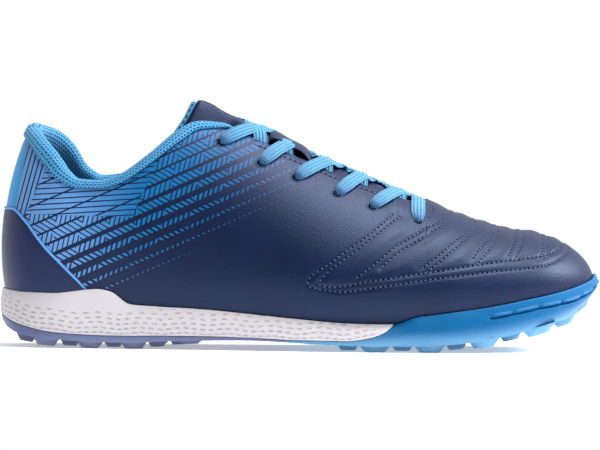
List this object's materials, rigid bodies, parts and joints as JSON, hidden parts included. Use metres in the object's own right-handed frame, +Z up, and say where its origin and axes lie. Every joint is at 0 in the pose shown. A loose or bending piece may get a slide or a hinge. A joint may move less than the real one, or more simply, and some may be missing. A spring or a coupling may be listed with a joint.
{
  "type": "turf shoe",
  "caption": "Low laced football shoe for the right foot, with a hollow upper on a last, a padded collar, a lined tongue and a studded rubber outsole.",
  "frame": {"origin": "on the ground under the middle of the shoe's bounding box", "axes": "+X from heel to toe, +Y to the inner side of the foot, +Z up"},
  "size_m": [0.29, 0.1029, 0.1208],
  "materials": {
    "navy_leather": "satin",
    "navy_overlay": "satin",
    "blue_mesh": "matte",
    "blue_lace": "matte",
    "white_foam": "matte",
    "blue_rubber": "satin",
    "slate_rubber": "satin",
    "insole_cloth": "matte"
  },
  "bodies": {
    "root": {"upper": "navy_leather", "heel-counter": "navy_overlay", "collar": "blue_mesh", "tongue": "navy_leather", "tongue-lining": "blue_mesh", "tongue-keeper": "navy_leather", "insole": "insole_cloth", "midsole": "white_foam", "outsole-heel": "slate_rubber", "outsole-forefoot": "blue_rubber", "lace-bar": "blue_lace", "lace-crossing-1": "blue_lace", "lace-crossing-2": "blue_lace", "lace-crossing-3": "blue_lace", "lace-crossing-4": "blue_lace", "lace-crossing-5": "blue_lace"}
  },
  "joints": []
}
